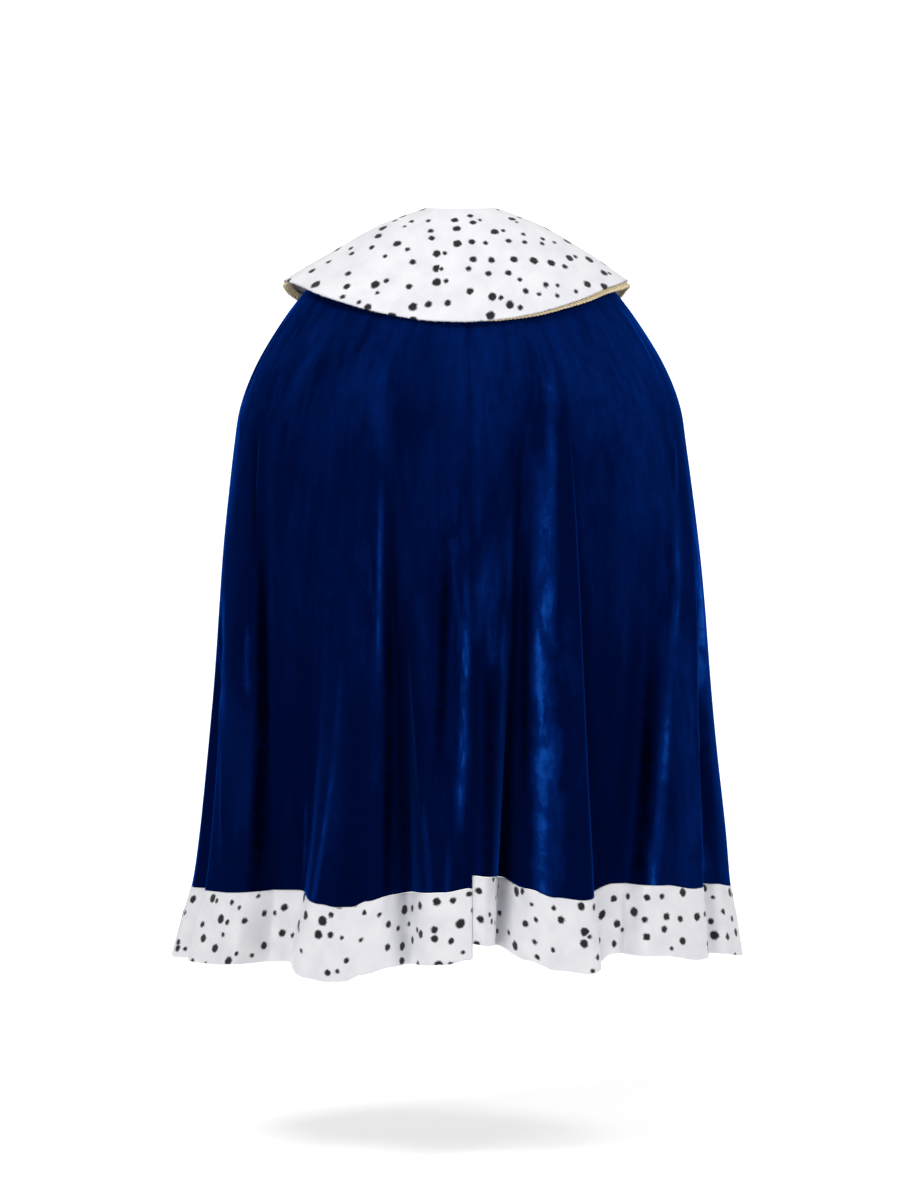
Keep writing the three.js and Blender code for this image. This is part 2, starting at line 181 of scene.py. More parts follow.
# Painted highlights along fold edges, ridges and the outer edges, and painted shade down the
# # troughs, mixed with where the pile lies brighter or, below 0, darker: turns, heights,
# # strength and half width.
NAP_AND_PAINTED_LIGHT_MARKS = [
    (-88, -80, -130, -340, -0.5, 22),
    (-76, -70, -690, -890, 1.1, 34),
    (-60, -57, -690, -830, 0.9, 9),
    (-64, -58, -340, -620, -0.6, 13),
    (-57.6, -46.6, -480, -1290, -1.3, 19),
    (-50, -43, -640, -1290, -0.3, 26),
    (-47, -46, -1110, -1500, -1.3, 38),
    (-40, -38, -700, -1290, -0.3, 55),
    (-37.6, -36.6, -960, -1150, 0.8, 5),
    (-27.5, -28.5, -740, -900, 0.3, 8),
    (-27.9, -33.8, -860, -1300, 1.0, 7),
    (-24, -22, -700, -1290, -0.35, 40),
    (-24.5, -17.5, -205, -480, 0.35, 16),
    (-19.4, -18.6, -430, -820, 1.0, 6),
    (-17.6, -15.2, -480, -1290, -1.2, 10),
    (-12.5, -9.5, -620, -1140, -0.5, 22),
    (-8, -4.5, -960, -1290, 0.6, 6),
    (-10, -9, -120, -440, -0.4, 60),
    (-3, -4.6, -530, -980, -1.1, 14),
    (-2.4, -2.9, -1040, -1290, 0.7, 8),
    (2.2, -0.4, -600, -1100, 1.05, 12),
    (3.6, 3.6, -700, -1110, -0.4, 6),
    (4.8, 4.2, -310, -600, 0.25, 7),
    (4.5, 3.8, -600, -760, 0.5, 14),
    (6.4, 5.2, -700, -1290, -0.9, 13),
    (6, 9, -560, -860, 0.55, 24),
    (7.2, 7.1, -940, -1300, -0.7, 6),
    (8.2, 9.3, -860, -1290, -0.8, 16),
    (10.4, 11, -820, -1290, -0.4, 14),
    (11.6, 11.2, -500, -880, 0.8, 14),
    (16.4, 13.4, -520, -1060, -1.0, 9),
    (18.4, 16.2, -540, -1300, 0.85, 18),
    (16.8, 16, -860, -1300, 0.6, 16),
    (20.4, 18.6, -300, -1300, 0.85, 32),
    (25.5, 20.5, -180, -620, 0.7, 14),
    (29, 31, -520, -1140, -0.4, 24),
    (37, 34, -640, -1290, -0.3, 40),
    (38, 37, -1120, -1500, -0.9, 24),
    (43.8, 42.8, -1020, -1290, 0.8, 9),
    (47, 36, -640, -1140, -0.5, 26),
    (50, 52, -190, -620, 0.3, 130),
    (52.5, 37.5, -680, -1290, -1.1, 16),
    (56.2, 38.4, -740, -1290, 1.0, 18),
    (66.5, 54, -480, -830, 0.65, 22),
    (66, 54, -600, -1300, 0.5, 95),
    (69, 66, -860, -1290, 0.9, 20),
    (70, 66, -820, -1140, 0.4, 6),
    (71, 65, -380, -500, 0.6, 9),
    (83, 74, -480, -860, 1.9, 50),
]

# Patches where the pile is crushed: turn, height, half width and half height in millimetres,
# and strength.
CRUSHED = [
    (-80, -790, 70, 130, 0.5),
    (-59, -760, 24, 70, 0.5),
    (-78, -360, 30, 60, 0.4),
    (-21, -660, 14, 100, 0.4),
    (-4.5, -900, 14, 110, 0.4),
    (0.5, -820, 14, 330, 0.5),
    (8, -760, 26, 210, 0.45),
    (19, -800, 42, 340, 0.35),
    (22, -700, 26, 160, 0.2),
    (67, -440, 26, 70, 0.5),
    (60, -620, 34, 110, 0.5),
    (74, -720, 24, 200, 0.5),
    (-2, -600, 20, 150, 0.4),
]

# The sides and front get creases, marks and crushed patches of the same kinds; each mark is a
# # painted highlight along a ridge or painted shade along a crease.
rng = random.Random(11)
for start_turn in range(96, 172, 9):
    for side in (-1, 1):
        turn = side * (start_turn + rng.uniform(-3, 3))
        low_turn = turn - side * rng.uniform(0, 4)
        top = rng.uniform(-230, -620)
        low = top - rng.uniform(240, 560)
        depth = rng.choice((-1, 1)) * rng.uniform(2.2, 4.2)
        CREASES.append((turn, low_turn, top, low, depth, rng.uniform(8, 16)))
        NAP_AND_PAINTED_LIGHT_MARKS.append((turn, low_turn, top, low, -0.22 * depth, rng.uniform(5, 12)))
        half_width = rng.uniform(14, 40)
        half_height = rng.uniform(60, 200)
        strength = rng.uniform(0.3, 0.9)
        CRUSHED.append((turn, (top + low) / 2, half_width, half_height, strength))


def clamp(value, low, high):
    return max(low, min(high, value))


def ease(value, low, high):
    share = clamp((value - low) / (high - low), 0, 1)
    return share * share * (3 - 2 * share)


def ring_values(rings, level):
    """A ring's seven values part-way between rings, on smooth curves through them."""
    last = len(rings) - 1
    level = clamp(level, 0, last)
    first = min(int(level), last - 1)
    t = level - first
    rows = [rings[clamp(first + step, 0, last)] for step in (-1, 0, 1, 2)]
    values = []
    for a, b, c, d in zip(*rows):
        slope_in = (c - a) / 2
        slope_out = (d - b) / 2
        curve = 2 * b - 2 * c + slope_in + slope_out
        bend = 3 * (c - b) - 2 * slope_in - slope_out
        values.append(((curve * t + bend) * t + slope_in) * t + b)
    return values


def table_value(table, turn):
    if turn <= table[0][0]:
        return table[0][1]
    for (turn_a, value_a), (turn_b, value_b) in zip(table, table[1:]):
        if turn < turn_b:
            return value_a + (value_b - value_a) * ease(turn, turn_a, turn_b)
    return table[-1][1]


def ring_point(values, turn):
    back, side, front, left, right, behind, before = values
    across = math.sin(math.radians(turn))
    along = math.cos(math.radians(turn))
    width = left if across < 0 else right
    depth = behind if along > 0 else before
    end = back if along > 0 else front
    return Vector((width * across, -depth * along, side + (end - side) * along * along))


def ring_outward(values, turn):
    step = ring_point(values, turn + 0.5) - ring_point(values, turn - 0.5)
    return Vector((step.y, -step.x, 0)).normalized()


def share_down(height, start):
    return clamp((start - height) / (start - HEM_HEIGHT), 0, 1)


FOLD_LINES = [(-FRONT_TURN_HEM, -FRONT_TURN_TOP, 0), (FRONT_TURN_HEM, FRONT_TURN_TOP, 0)]
FOLD_LINES += [(SEAM_TURN, SEAM_TURN, 0)] + [trough[:3] for trough in TROUGHS]
FOLD_LINES.sort()


def thread_turn(hem_turn, height):
    """Where the thread that meets the hem at this turn lies round the cape at a height."""
    after = 1
    while after < len(FOLD_LINES) - 1 and FOLD_LINES[after][0] <= hem_turn:
        after += 1
    shifts = []
    for hem, top, start in FOLD_LINES[after - 1 : after + 1]:
        shifts.append((top - hem) * (1 - share_down(height, start)))
    hem_a = FOLD_LINES[after - 1][0]
    hem_b = FOLD_LINES[after][0]
    share = (hem_turn - hem_a) / (hem_b - hem_a)
    return hem_turn + shifts[0] + (shifts[1] - shifts[0]) * share


@functools.lru_cache(maxsize=None)
def ring_set(level):
    """The ring at a level and the two beside it, which give its slope."""
    return [ring_values(CAPE_RINGS, level + step) for step in (0, 0.1, -0.1)]


def cape_form(side, hem_turn, level):
    """The middle of the cape's cloth with its main folds, as the solids have it."""
    values, lower, upper = ring_set(level)
    height = values[1]
    turn = thread_turn(hem_turn, height)
    point = ring_point(values, turn)
    slope = ring_point(lower, turn) - ring_point(upper, turn)
    sag = clamp((HEM_SAG_STARTS - height) / (HEM_SAG_STARTS - HEM_HEIGHT), 0, 1)
    point -= slope * (table_value(HEM_LINE[side], hem_turn) * sag / slope.z)
    outward = ring_outward(values, turn)
    sideways = Vector((-outward.y, outward.x, 0))
    for hem, _, start, depth, before, after, lean_before, lean_after in TROUGHS:
        off = hem_turn - hem
        reach = before if off < 0 else after
        if abs(off) >= reach:
            continue
        lean = lean_before if off < 0 else -lean_after
        down = share_down(height, start)
        grown = down * (1.7 - 0.7 * down)
        point -= outward * (depth * grown * math.cos(math.pi / 2 * off / reach) ** 2)
        point += sideways * (lean * grown * math.sin(math.pi * abs(off / reach)))
    return point, outward, turn, height


@functools.lru_cache(maxsize=None)
def lines_at(kind, height):
    """The creases, or the marks of pile and painted light, that cross a height: place, strength there
    and half width.
    """
    found = []
    per_degree = 3.4 + 3.8 * ease(-height, 100, 700)
    for turn_top, turn_low, top, low, strength, reach in {"crease": CREASES, "nap_and_light_mark": NAP_AND_PAINTED_LIGHT_MARKS}[kind]:
        if low < height < top:
            share = (top - height) / (top - low)
            fade = ease(share, 0, 0.3) * ease(1 - share, 0, 0.35)
            found.append((turn_top + (turn_low - turn_top) * share, strength * fade, reach / per_degree))
    return found


def along_lines(kind, turn, height):
    total = 0
    for place, strength, reach in lines_at(kind, height):
        off = (turn - place) / reach
        if -1 < off < 1:
            total += strength * math.cos(math.pi / 2 * off) ** 2
    return total


def crushed_at(turn, height):
    total = 0
    for place, middle, half_width, half_height, strength in CRUSHED:
        down = (height - middle) / half_height
        if abs(down) < 1.4:
            across = (turn - place) * 7 / half_width
            total += strength * math.exp(-2 * (across * across + down * down))
    return min(total, 1)


@functools.lru_cache(maxsize=None)
def seam_scale(side, level):
    """Millimetres a degree across the seam, square to the turned-in allowances."""
    step = 0.3
    sign = -1 if side == "left" else 1
    at_seam, outward, _, _ = cape_form(side, SEAM_TURN, level)
    beside = cape_form(side, SEAM_TURN + sign * step, level)[0]
    sideways = Vector((-outward.y, outward.x, 0))
    return abs((beside - at_seam).dot(sideways)) / step


def cape_cloth(side, hem_turn, level, thickness):
    """The cape's cloth with its creases, the sunk seam, the narrow hem of the front edge and
    the slight unevenness of velvet. The cloth beyond the seam is turned in, as an allowance,
    and the two allowances meet. Under the collar the cloth lies smooth."""
    sign = -1 if side == "left" else 1
    per_degree = 4.2 + 0.55 * level
    from_seam = (hem_turn - SEAM_TURN) * sign * per_degree
    allowance = max(0, -from_seam)
    from_seam = max(from_seam, 0)
    kept_off = (thickness / 2 + 0.01) / seam_scale(side, level) * max(0, 1 - from_seam / 20)
    hem_turn = SEAM_TURN + sign * (from_seam / per_degree + kept_off)
    point, outward, turn, height = cape_form(side, hem_turn, level)
    inward = along_lines("crease", turn, height) + allowance
    inward += 2.4 * noise.noise(Vector((turn * 0.11, height * 0.004, 3.1))) * ease(-height, 180, 420)
    crushed = crushed_at(turn, height)
    if crushed > 0.05:
        inward += 1.3 * crushed * noise.noise(Vector((turn * 0.5, height * 0.02, 9.4)))
    if from_seam < 60:
        raised = ease(-height, 140, 200)
        inward += 2.4 * math.exp(-((from_seam / 3.2) ** 2))
        inward -= 1.2 * raised * math.exp(-(((from_seam - 9) / 5) ** 2))
        pucker = 2.6 * raised * noise.noise(Vector((height * 0.035, from_seam * 0.02, 7.7)))
        inward += pucker * math.exp(-from_seam / 16) * (1 - math.exp(-from_seam / 3))
    from_front = (FRONT_TURN_HEM - abs(hem_turn)) * (1.45 + 0.41 * level)
    if from_front < 24:
        inward += 0.9 * math.exp(-(((from_front - 12) / 2.2) ** 2)) - 0.5 * (1 - ease(from_front, 9, 13))
    # Painted light: the marks give painted highlights along fold edges and painted shade in the troughs,
    # with the lie of the pile, and the upper back under the collar gets a painted brightening as if lit
    # from above.
    nap_and_painted_light = along_lines("nap_and_light_mark", turn, height) + 0.42 * ease(height, -460, -190)
    return point - outward * inward, nap_and_painted_light, crushed


WALK_STEPS = 900
BACK_ENDS = 84  # degrees either side of the middle of the back
FRONT_HEM_COLUMNS = 12
FRONT_HEM_STEP = 0.4  # degrees


def half_turns(side, count):
    """The columns of one half: evenly along the cloth, twice as close on the back as round the
    sides and front, and closer still at the seam and the front edge. Also the hem's length."""
    start, end = (-FRONT_TURN_HEM, SEAM_TURN) if side == "left" else (SEAM_TURN, FRONT_TURN_HEM)
    fine = [start + (end - start) * i / WALK_STEPS for i in range(WALK_STEPS + 1)]
    walked = [0]
    length = 0
    for a, b in zip(fine, fine[1:]):
        steps = []
        for level in (HEM_LEVEL, 10, 5):
            steps.append((cape_form(side, b, level)[0] - cape_form(side, a, level)[0]).length)
        length += steps[0]
        weight = 1 if abs(a) > BACK_ENDS else 2
        walked.append(walked[-1] + weight * (0.5 * steps[0] + 0.3 * steps[1] + 0.2 * steps[2]))
    turns = []
    at = 0
    for i in range(count + 1):
        wanted = walked[-1] * i / count
        while at < WALK_STEPS - 1 and walked[at + 1] < wanted:
            at += 1
        share = (wanted - walked[at]) / (walked[at + 1] - walked[at])
        turns.append(fine[at] + (fine[at + 1] - fine[at]) * share)
    near = 0.1625  # degrees per 2 mm of cloth at the middle of the back
    sign = -1 if side == "left" else 1
    extra = [SEAM_TURN + sign * near * step for step in (-4.5, -3, -1.5, 0, 1, 2, 3.2, 4.6, 6.2)]
    turns = [turn for turn in turns if abs(turn - SEAM_TURN) > near * 7.4] + extra
    turns = [turn for turn in turns if abs(turn) < FRONT_TURN_HEM - 4.6]
    turns += [sign * (FRONT_TURN_HEM - FRONT_HEM_STEP * step) for step in range(FRONT_HEM_COLUMNS)]
    return sorted(turns), length


def cloth_piece(name, turns, levels, surface, thickness):
    """A sheet of cloth on a grid of turns and levels, with its UV map in metres and the marks of
    its pile and painted light, given a thickness. Also its area and its lower edge: each point
    of the edge, the point above it and its UV place."""
    across = len(turns) - 1
    down = len(levels) - 1
    bm = bmesh.new()
    bmesh.ops.create_grid(bm, x_segments=across, y_segments=down, size=0.5)
    nap_and_painted_light_layer = bm.verts.layers.float.new("nap_and_painted_light")
    crushed_layer = bm.verts.layers.float.new("crushed")
    place = {}
    rows = {}
    for vert in bm.verts:
        i = round((vert.co.x + 0.5) * across)
        j = down - round((vert.co.y + 0.5) * down)
        point, vert[nap_and_painted_light_layer], vert[crushed_layer] = surface(turns[i], levels[j])
        vert.co = point * MM
        place[vert] = (i, j)
        rows[(i, j)] = vert.co.copy()
    u_at = [0.0]
    middle = down // 2
    for i in range(across):
        u_at.append(u_at[-1] + (rows[(i + 1, middle)] - rows[(i, middle)]).length)
    v_at = [0.0]
    centre = across // 2
    for j in range(down):
        v_at.append(v_at[-1] - (rows[(centre, j + 1)] - rows[(centre, j)]).length)
    uv = bm.loops.layers.uv.new("cloth")
    for face in bm.faces:
        face.smooth = True
        for loop in face.loops:
            i, j = place[loop.vert]
            loop[uv].uv = (u_at[i], v_at[j])
    mesh = bpy.data.meshes.new(name)
    bm.to_mesh(mesh)
    area = sum(face.calc_area() for face in bm.faces)
    bm.free()
    piece = bpy.data.objects.new(name, mesh)
    bpy.context.collection.objects.link(piece)
    wall = piece.modifiers.new("wall", "SOLIDIFY")
    wall.thickness = thickness * MM
    wall.offset = 0
    wall.material_offset = 1
    wall.material_offset_rim = 0
    edge = [(rows[(i, down)], rows[(i, down - 1)], (u_at[i], v_at[down])) for i in range(across + 1)]
    return piece, area, edge


def node(tree, kind, **inputs):
    """A shader node, with its values set by name and its links made from other outputs."""
    made = tree.nodes.new(kind)
    for key, value in inputs.items():
        if hasattr(made, key):
            setattr(made, key, value)
            continue
        socket = made.inputs[key.replace("_", " ")]
        if isinstance(value, bpy.types.NodeSocket):
            tree.links.new(value, socket)
        else:
            socket.default_value = value
    return made


def noise_over(tree, place, scale, detail, roughness=0.5, distortion=0.0):
    """A noise texture over a place, at so many waves a metre."""
    made = node(tree, "ShaderNodeTexNoise", Vector=place, Scale=scale, Detail=detail)
    made.inputs["Roughness"].default_value = roughness
    made.inputs["Distortion"].default_value = distortion
    return made


def spread(tree, value, low, high, to_low, to_high):
    """A value brought from one range to another, and held inside it."""
    made = node(tree, "ShaderNodeMapRange", Value=value)
    made.inputs["From Min"].default_value = low
    made.inputs["From Max"].default_value = high
    made.inputs["To Min"].default_value = to_low
    made.inputs["To Max"].default_value = to_high
    return made.outputs["Result"]


def work_out(tree, operation, first, second):
    """The two numbers, each a socket or a plain value, put together by a maths node."""
    made = node(tree, "ShaderNodeMath", operation=operation)
    for socket, value in zip(made.inputs, (first, second)):
        if isinstance(value, bpy.types.NodeSocket):
            tree.links.new(value, socket)
        else:
            socket.default_value = value
    return made.outputs["Value"]


def ramp(tree, value, *stops):
    """A colour ramp through the stops, each a position and a colour."""
    made = node(tree, "ShaderNodeValToRGB", Fac=value)
    elements = made.color_ramp.elements
    while len(elements) < len(stops):
        elements.new(0.5)
    for element, (position, colour) in zip(elements, stops):
        element.position = position
        element.color = (*colour, 1)
    return made.outputs["Color"]


def new_material(name):
    material = bpy.data.materials.new(name)
    material.use_nodes = True
    return material, material.node_tree, material.node_tree.nodes["Principled BSDF"]


velvet, tree, surface = new_material("crushed_velvet")
cloth_map = node(tree, "ShaderNodeUVMap", uv_map="cloth").outputs["UV"]
stretched = node(tree, "ShaderNodeMapping", Vector=cloth_map, Scale=(1.0, 0.2, 1.0)).outputs["Vector"]
streaks = noise_over(tree, stretched, 60.0, 4.0, 0.55, 0.4)
hairs = noise_over(tree, stretched, 260.0, 3.0, 0.65, 0.4)
clouds = noise_over(tree, stretched, 8.0, 3.0, 0.5, 0.8)
mottle = noise_over(tree, cloth_map, 44.0, 3.0, 0.6, 0.6)
pile = noise_over(tree, cloth_map, 900.0, 2.0, 0.6)
# Painted light: the pile-and-light attribute carries painted highlights along fold edges and painted
# shade down the troughs, along with the lie of the pile, and lifts or lowers the base colour through the
# tone ramp.
nap_and_painted_light = node(tree, "ShaderNodeAttribute", attribute_name="nap_and_painted_light").outputs["Fac"]
crushed = node(tree, "ShaderNodeAttribute", attribute_name="crushed").outputs["Fac"]
broken = work_out(tree, "MULTIPLY", crushed, spread(tree, streaks.outputs["Fac"], 0.46, 0.68, -0.2, 1.2))
lie = work_out(tree, "MULTIPLY", nap_and_painted_light, spread(tree, streaks.outputs["Fac"], 0.32, 0.62, 0.6, 1.1))
lie = work_out(tree, "MULTIPLY", lie, spread(tree, mottle.outputs["Fac"], 0.36, 0.6, 0.8, 1.1))
lie = work_out(tree, "ADD", lie, spread(tree, clouds.outputs["Fac"], 0.3, 0.7, -0.24, 0.24))
lie = work_out(tree, "ADD", lie, spread(tree, streaks.outputs["Fac"], 0.3, 0.7, -0.08, 0.08))
lie = work_out(tree, "ADD", lie, spread(tree, hairs.outputs["Fac"], 0.3, 0.7, -0.07, 0.07))
lie = work_out(tree, "ADD", lie, broken)
shade = spread(tree, lie, -1.0, 2.0, 0.0, 1.0)
tone = ramp(
    tree,
    shade,
    (0.0, (0.0, 0.0005, 0.006)),
    (0.33, (0.0, 0.0032, 0.034)),
    (0.6, (0.0004, 0.012, 0.105)),
    (1.0, (0.005, 0.07, 0.4)),
)
tree.links.new(tone, surface.inputs["Base Color"])
tree.links.new(spread(tree, shade, 0.2, 0.9, 0.6, 0.42), surface.inputs["Roughness"])
relief = work_out(tree, "MULTIPLY", streaks.outputs["Fac"], spread(tree, crushed, 0.0, 1.0, 0.16, 1.0))
bump_crush = node(tree, "ShaderNodeBump", Height=relief, Strength=0.7, Distance=0.005)
bump_pile = node(tree, "ShaderNodeBump", Height=pile.outputs["Fac"], Strength=0.3, Distance=0.0006)
tree.links.new(bump_crush.outputs["Normal"], bump_pile.inputs["Normal"])
tree.links.new(bump_pile.outputs["Normal"], surface.inputs["Normal"])
surface.inputs["Specular IOR Level"].default_value = 0.0
surface.inputs["Sheen Weight"].default_value = 0.9
surface.inputs["Sheen Roughness"].default_value = 0.3
surface.inputs["Sheen Tint"].default_value = (0.0, 0.11, 0.85, 1)

# The velvet's back is a smooth dull knit.
velvet_back, tree, surface = new_material("velvet_back_knit")
cloth_map = node(tree, "ShaderNodeUVMap", uv_map="cloth").outputs["UV"]
ribs = node(tree, "ShaderNodeTexWave", Vector=cloth_map, Scale=190.0, Distortion=1.5, Detail=1.0)
cloud = noise_over(tree, cloth_map, 14.0, 3.0)
tone = ramp(tree, cloud.outputs["Fac"], (0.3, (0.001, 0.007, 0.045)), (0.7, (0.003, 0.013, 0.075)))
tree.links.new(tone, surface.inputs["Base Color"])
bump_rib = node(tree, "ShaderNodeBump", Height=ribs.outputs["Fac"], Strength=0.25, Distance=0.0005)
tree.links.new(bump_rib.outputs["Normal"], surface.inputs["Normal"])
surface.inputs["Roughness"].default_value = 0.8
surface.inputs["Specular IOR Level"].default_value = 0.1

VELVET_ROWS = 190
VELVET_COLUMNS = 214
velvet_levels = [BAND_LEVEL * j / VELVET_ROWS for j in range(VELVET_ROWS + 1)]
for side in ("left", "right"):
    turns, hem_length = half_turns(side, VELVET_COLUMNS)

    def velvet_surface(turn, level):
        return cape_cloth(side, turn, level, VELVET_THICKNESS)

    piece, area, _ = cloth_piece(
        f"velvet_half_{side}", turns, velvet_levels, velvet_surface, VELVET_THICKNESS
    )
    piece.data.materials.append(velvet)
    piece.data.materials.append(velvet_back)
    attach(piece, "root")
    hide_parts(f"velvet_{side}")

# The hem bands: straight strips of short white plush with black spots, on a plain knitted
# backing, sewn to the lower edge of each half, so that they carry the velvet's folds on down.
BAND_THICKNESS = 3.4
BAND_GAP = 0.65  # below the velvet's lower edge
BAND_ROWS = 26
BAND_COLUMNS = 220

plush, tree, surface = new_material("spotted_plush")
cloth_map = node(tree, "ShaderNodeUVMap", uv_map="cloth").outputs["UV"]
tuft = noise_over(tree, cloth_map, 520.0, 3.0, 0.75)
clumps = noise_over(tree, cloth_map, 150.0, 2.0, 0.6)
swell = noise_over(tree, cloth_map, 26.0, 2.0)
wander = node(tree, "ShaderNodeVectorMath", operation="SUBTRACT")
tree.links.new(tuft.outputs["Color"], wander.inputs[0])
wander.inputs[1].default_value = (0.5, 0.5, 0.5)
nudge = node(tree, "ShaderNodeVectorMath", operation="SCALE", Scale=0.0045)
tree.links.new(wander.outputs["Vector"], nudge.inputs[0])
bend = node(tree, "ShaderNodeVectorMath", operation="SUBTRACT")
tree.links.new(clumps.outputs["Color"], bend.inputs[0])
bend.inputs[1].default_value = (0.5, 0.5, 0.5)
shove = node(tree, "ShaderNodeVectorMath", operation="SCALE", Scale=0.005)
tree.links.new(bend.outputs["Vector"], shove.inputs[0])
both = node(tree, "ShaderNodeVectorMath", operation="ADD")
tree.links.new(nudge.outputs["Vector"], both.inputs[0])
tree.links.new(shove.outputs["Vector"], both.inputs[1])
spot_place = node(tree, "ShaderNodeVectorMath", operation="ADD")
tree.links.new(cloth_map, spot_place.inputs[0])
tree.links.new(both.outputs["Vector"], spot_place.inputs[1])
spots = node(tree, "ShaderNodeTexVoronoi", voronoi_dimensions="2D", Vector=spot_place.outputs["Vector"])
spots.inputs["Scale"].default_value = 31.0
spots.inputs["Randomness"].default_value = 0.95
pick = node(tree, "ShaderNodeSeparateColor", Color=spots.outputs["Color"])
size = spread(tree, work_out(tree, "POWER", pick.outputs["Red"], 1.6), 0.0, 1.0, 0.11, 0.25)
kept = spread(tree, pick.outputs["Green"], 0.05, 0.08, -1.0, 0.0)
inside = work_out(tree, "SUBTRACT", work_out(tree, "ADD", size, kept), spots.outputs["Distance"])
spotted = spread(tree, inside, -0.045, 0.045, 0.0, 1.0)
white = ramp(tree, swell.outputs["Fac"], (0.3, (0.73, 0.73, 0.78)), (0.7, (0.82, 0.82, 0.85)))
black = ramp(tree, tuft.outputs["Fac"], (0.35, (0.006, 0.006, 0.008)), (0.7, (0.035, 0.034, 0.04)))
# Painted shade: the bands' white is darkened where the velvet's marks run dark, down the valleys of
# their folds.
painted_valley_shade = node(tree, "ShaderNodeAttribute", attribute_name="nap_and_painted_light").outputs["Fac"]
shading = spread(tree, painted_valley_shade, -1.9, -0.3, 0.72, 1.0)
shaded = node(tree, "ShaderNodeVectorMath", operation="SCALE", Scale=shading)
tree.links.new(white, shaded.inputs[0])
paint = node(tree, "ShaderNodeMix", data_type="RGBA")
tree.links.new(spotted, paint.inputs["Factor"])
tree.links.new(shaded.outputs["Vector"], paint.inputs[6])
tree.links.new(black, paint.inputs[7])
tree.links.new(paint.outputs[2], surface.inputs["Base Color"])
bump_clumps = node(tree, "ShaderNodeBump", Height=clumps.outputs["Fac"], Strength=0.3, Distance=0.0018)
bump_tuft = node(tree, "ShaderNodeBump", Height=tuft.outputs["Fac"], Strength=0.5, Distance=0.0014)
tree.links.new(bump_clumps.outputs["Normal"], bump_tuft.inputs["Normal"])
tree.links.new(bump_tuft.outputs["Normal"], surface.inputs["Normal"])
surface.inputs["Roughness"].default_value = 0.95
surface.inputs["Specular IOR Level"].default_value = 0.12
surface.inputs["Sheen Weight"].default_value = 0.2
surface.inputs["Sheen Roughness"].default_value = 0.5

plush_back, tree, surface = new_material("plush_backing_knit")
cloth_map = node(tree, "ShaderNodeUVMap", uv_map="cloth").outputs["UV"]
ribs = node(tree, "ShaderNodeTexWave", Vector=cloth_map, Scale=150.0, Distortion=1.5, Detail=1.0)
cloud = noise_over(tree, cloth_map, 18.0, 3.0)
tone = ramp(tree, cloud.outputs["Fac"], (0.3, (0.6, 0.59, 0.6)), (0.7, (0.7, 0.69, 0.7)))
tree.links.new(tone, surface.inputs["Base Color"])
bump_rib = node(tree, "ShaderNodeBump", Height=ribs.outputs["Fac"], Strength=0.3, Distance=0.0006)
tree.links.new(bump_rib.outputs["Normal"], surface.inputs["Normal"])
surface.inputs["Roughness"].default_value = 0.9
surface.inputs["Specular IOR Level"].default_value = 0.1


def soften_edge(piece, width):
    """Rounds the corners of a sheet's cut edges."""
    soft_edge = piece.modifiers.new("soft_edge", "BEVEL")
    soft_edge.width = width * MM
    soft_edge.segments = 3
    soft_edge.limit_method = "ANGLE"
    soft_edge.angle_limit = math.radians(60)


def edge_pile(name, edge, doublings, deepest, longest, seed):
    """Short pointed tufts that stand off an edge of pile and soften it. One is made and
    doubled until there are enough. Each takes the colour that the cloth has there."""
    tuft_rng = random.Random(seed)
    bm = bmesh.new()
    uv = bm.loops.layers.uv.new("cloth")
    bmesh.ops.create_cone(bm, cap_ends=True, segments=3, radius1=0.5 * MM, radius2=0, depth=1)
    for _ in range(doublings):
        bmesh.ops.duplicate(bm, geom=bm.verts[:] + bm.edges[:] + bm.faces[:])
    uv_of = {}
    for tip in [vert for vert in bm.verts if vert.co.z > 0]:
        base = [side.other_vert(tip) for side in tip.link_edges]
        at = tuft_rng.uniform(0, len(edge) - 1.001)
        (a, above_a, uv_a), (b, above_b, uv_b) = edge[int(at) : int(at) + 2]
        share = at % 1
        root = a.lerp(b, share)
        down = (root - above_a.lerp(above_b, share)).normalized()
        along = (b - a).normalized()
        out = along.cross(down)
        root += out * tuft_rng.uniform(-deepest, deepest) * MM - down * 0.8 * MM
        lean = (down + along * tuft_rng.gauss(0, 0.3) + out * tuft_rng.gauss(0, 0.3)).normalized()
        tip.co = root + lean * tuft_rng.uniform(0.5, 1) * longest * MM
        for vert in base:
            vert.co = root + along * vert.co.x + out * vert.co.y
        u, v = (at_a + (at_b - at_a) * share for at_a, at_b in zip(uv_a, uv_b))
        for vert in (tip, *base):
            uv_of[vert] = (u, v)
    bmesh.ops.recalc_face_normals(bm, faces=bm.faces)
    for face in bm.faces:
        for loop in face.loops:
            loop[uv].uv = uv_of[loop.vert]
    mesh = bpy.data.meshes.new(name)
    bm.to_mesh(mesh)
    bm.free()
    pile = bpy.data.objects.new(name, mesh)
    bpy.context.collection.objects.link(pile)
    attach(pile, "root")
    return pile


ring_drop = CAPE_RINGS[BAND_LEVEL][1] - CAPE_RINGS[BAND_LEVEL + 1][1]
band_start = BAND_LEVEL + BAND_GAP / ring_drop
band_levels = [band_start + (HEM_LEVEL - band_start) * j / BAND_ROWS for j in range(BAND_ROWS + 1)]
for side in ("left", "right"):
    turns, hem_length = half_turns(side, BAND_COLUMNS)

    def band_surface(turn, level):
        return cape_cloth(side, turn, level, BAND_THICKNESS)

    piece, area, edge = cloth_piece(
        f"hem_band_plush_{side}", turns, band_levels, band_surface, BAND_THICKNESS
    )
    soften_edge(piece, 1.3)
    piece.data.materials.append(plush)
    piece.data.materials.append(plush_back)
    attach(piece, "root")
    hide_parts(f"hem_band_{side}")
    pile = edge_pile(f"hem_pile_{side}", edge, 12, 1.4, 2.6, 21 if side == "left" else 22)
    pile.data.materials.append(plush)

